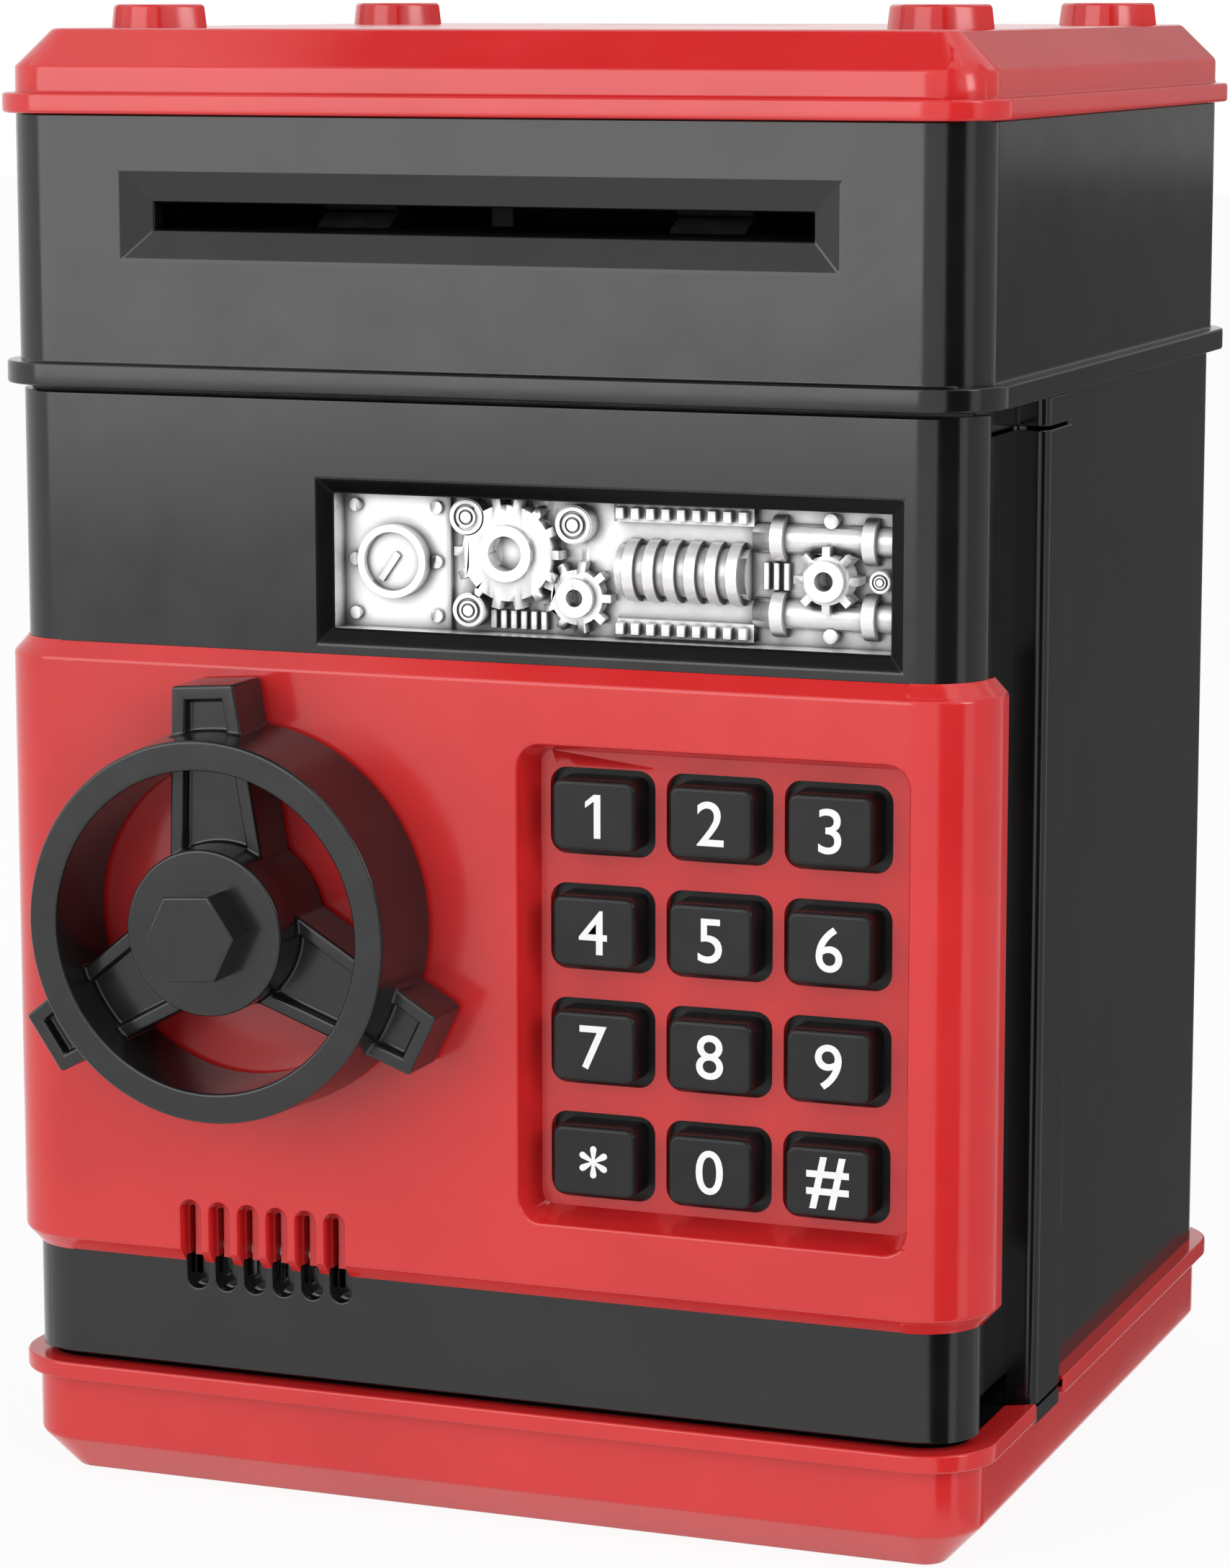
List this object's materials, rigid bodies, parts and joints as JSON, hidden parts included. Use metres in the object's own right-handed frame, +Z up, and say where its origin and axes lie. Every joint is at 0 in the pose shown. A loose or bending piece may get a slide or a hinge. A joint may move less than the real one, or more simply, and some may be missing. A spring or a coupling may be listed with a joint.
{
  "type": "cash machine coin bank",
  "caption": "Toy cash-machine savings bank with a hinged door, handwheel, keypad, note feeder and relief window.",
  "frame": {"origin": "middle of the base's underside", "axes": "+Z up, the front with door and keypad faces -Y, +X to the right"},
  "size_m": [0.1334, 0.1411, 0.1916],
  "materials": {
    "red_plastic": "satin moulded red plastic",
    "dark_plastic": "satin moulded black plastic",
    "wheel_plastic": "glossy moulded black plastic",
    "key_plastic": "glossy black with white printed figures",
    "silver_plastic": "silver-painted moulding",
    "steel": "zinc-plated steel",
    "motor_can": "plated steel can",
    "brass": "brass and copper winding",
    "gear_plastic": "natural acetal",
    "rubber": "matt rubber",
    "circuit_board": "green board",
    "cell_wrap": "plain wrapped cell"
  },
  "bodies": {
    "bank": {"base": "red_plastic", "body_shell": "dark_plastic", "head_housing": "dark_plastic", "top_cover": "red_plastic", "battery_cover": "red_plastic", "battery_screw": "steel", "battery_cells": "cell_wrap", "battery_contacts": "brass", "shell_screws": "steel", "coin_chute": "dark_plastic", "lower_note_guide": "dark_plastic", "upper_note_guide": "dark_plastic", "feed_bracket": "steel", "bracket_screws": "steel", "feed_motor": "motor_can", "idler_pin": "steel", "hinge_rod": "steel"},
    "feed": {"feed_shaft": "steel", "feed_rollers": "rubber", "feed_gear": "gear_plastic"},
    "pinch": {"pinch_shaft": "steel", "pinch_rollers": "rubber"},
    "idler": {"idler_gear": "gear_plastic"},
    "rotor": {"motor_shaft": "steel", "motor_pinion": "gear_plastic"},
    "lever": {"note_lever": "dark_plastic"},
    "door": {"door_shell": "dark_plastic", "door_panel": "red_plastic", "relief_plate": "silver_plastic", "door_cover": "dark_plastic", "door_hinge": "dark_plastic", "door_screws": "steel", "keypad_board": "circuit_board", "keypad_membrane": "rubber", "keypad_screws": "steel", "speaker": "steel", "speaker_clamp": "dark_plastic", "lock_coil": "brass", "panel_screws": "steel"},
    "wheel": {"handwheel": "wheel_plastic", "hub_bolt": "wheel_plastic", "wheel_shaft": "steel", "latch_arm": "steel", "latch_screw": "steel"},
    "plunger": {"lock_plunger": "steel"},
    "key_1_cap": {"key_1": "key_plastic"},
    "key_2_cap": {"key_2": "key_plastic"},
    "key_3_cap": {"key_3": "key_plastic"},
    "key_4_cap": {"key_4": "key_plastic"},
    "key_5_cap": {"key_5": "key_plastic"},
    "key_6_cap": {"key_6": "key_plastic"},
    "key_7_cap": {"key_7": "key_plastic"},
    "key_8_cap": {"key_8": "key_plastic"},
    "key_9_cap": {"key_9": "key_plastic"},
    "key_star_cap": {"key_star": "key_plastic"},
    "key_0_cap": {"key_0": "key_plastic"},
    "key_hash_cap": {"key_hash": "key_plastic"}
  },
  "joints": [
    {"name": "door_swing", "type": "hinge", "parent": "bank", "child": "door", "pos_m": [0.0602, -0.028, 0.077], "axis": [0, 0, 1], "range_deg": [0, 110]},
    {"name": "wheel_turn", "type": "hinge", "parent": "door", "child": "wheel", "pos_m": [-0.02982, -0.062, 0.07775], "axis": [0, -1, 0], "range_deg": [0, 90]},
    {"name": "lock_slide", "type": "slide", "parent": "door", "child": "plunger", "axis": [-1, 0, 0], "range_m": [0, 0.003], "stiffness_N_per_m": 40},
    {"name": "feed_spin", "type": "hinge", "parent": "bank", "child": "feed", "pos_m": [0, -0.036, 0.1583], "axis": [1, 0, 0], "continuous": true},
    {"name": "pinch_spin", "type": "hinge", "parent": "bank", "child": "pinch", "pos_m": [0, -0.036, 0.1705], "axis": [1, 0, 0], "continuous": true},
    {"name": "idler_spin", "type": "hinge", "parent": "bank", "child": "idler", "pos_m": [0.052, -0.0215, 0.16086], "axis": [1, 0, 0], "continuous": true},
    {"name": "motor_spin", "type": "hinge", "parent": "bank", "child": "rotor", "pos_m": [0.05, -0.01698, 0.17706], "axis": [1, 0, 0], "continuous": true},
    {"name": "lever_swing", "type": "hinge", "parent": "bank", "child": "lever", "pos_m": [0, -0.048, 0.172], "axis": [1, 0, 0], "range_deg": [0, 30]},
    {"name": "key_1_press", "type": "slide", "parent": "door", "child": "key_1_cap", "axis": [0, 1, 0], "range_m": [0, 0.0013], "stiffness_N_per_m": 300},
    {"name": "key_2_press", "type": "slide", "parent": "door", "child": "key_2_cap", "axis": [0, 1, 0], "range_m": [0, 0.0013], "stiffness_N_per_m": 300},
    {"name": "key_3_press", "type": "slide", "parent": "door", "child": "key_3_cap", "axis": [0, 1, 0], "range_m": [0, 0.0013], "stiffness_N_per_m": 300},
    {"name": "key_4_press", "type": "slide", "parent": "door", "child": "key_4_cap", "axis": [0, 1, 0], "range_m": [0, 0.0013], "stiffness_N_per_m": 300},
    {"name": "key_5_press", "type": "slide", "parent": "door", "child": "key_5_cap", "axis": [0, 1, 0], "range_m": [0, 0.0013], "stiffness_N_per_m": 300},
    {"name": "key_6_press", "type": "slide", "parent": "door", "child": "key_6_cap", "axis": [0, 1, 0], "range_m": [0, 0.0013], "stiffness_N_per_m": 300},
    {"name": "key_7_press", "type": "slide", "parent": "door", "child": "key_7_cap", "axis": [0, 1, 0], "range_m": [0, 0.0013], "stiffness_N_per_m": 300},
    {"name": "key_8_press", "type": "slide", "parent": "door", "child": "key_8_cap", "axis": [0, 1, 0], "range_m": [0, 0.0013], "stiffness_N_per_m": 300},
    {"name": "key_9_press", "type": "slide", "parent": "door", "child": "key_9_cap", "axis": [0, 1, 0], "range_m": [0, 0.0013], "stiffness_N_per_m": 300},
    {"name": "key_star_press", "type": "slide", "parent": "door", "child": "key_star_cap", "axis": [0, 1, 0], "range_m": [0, 0.0013], "stiffness_N_per_m": 300},
    {"name": "key_0_press", "type": "slide", "parent": "door", "child": "key_0_cap", "axis": [0, 1, 0], "range_m": [0, 0.0013], "stiffness_N_per_m": 300},
    {"name": "key_hash_press", "type": "slide", "parent": "door", "child": "key_hash_cap", "axis": [0, 1, 0], "range_m": [0, 0.0013], "stiffness_N_per_m": 300}
  ],
  "couplings": [
    {"joint": "pinch_spin", "follows": "feed_spin", "ratio": -1.4},
    {"joint": "idler_spin", "follows": "feed_spin", "ratio": -2.5},
    {"joint": "motor_spin", "follows": "feed_spin", "ratio": 7.5}
  ]
}
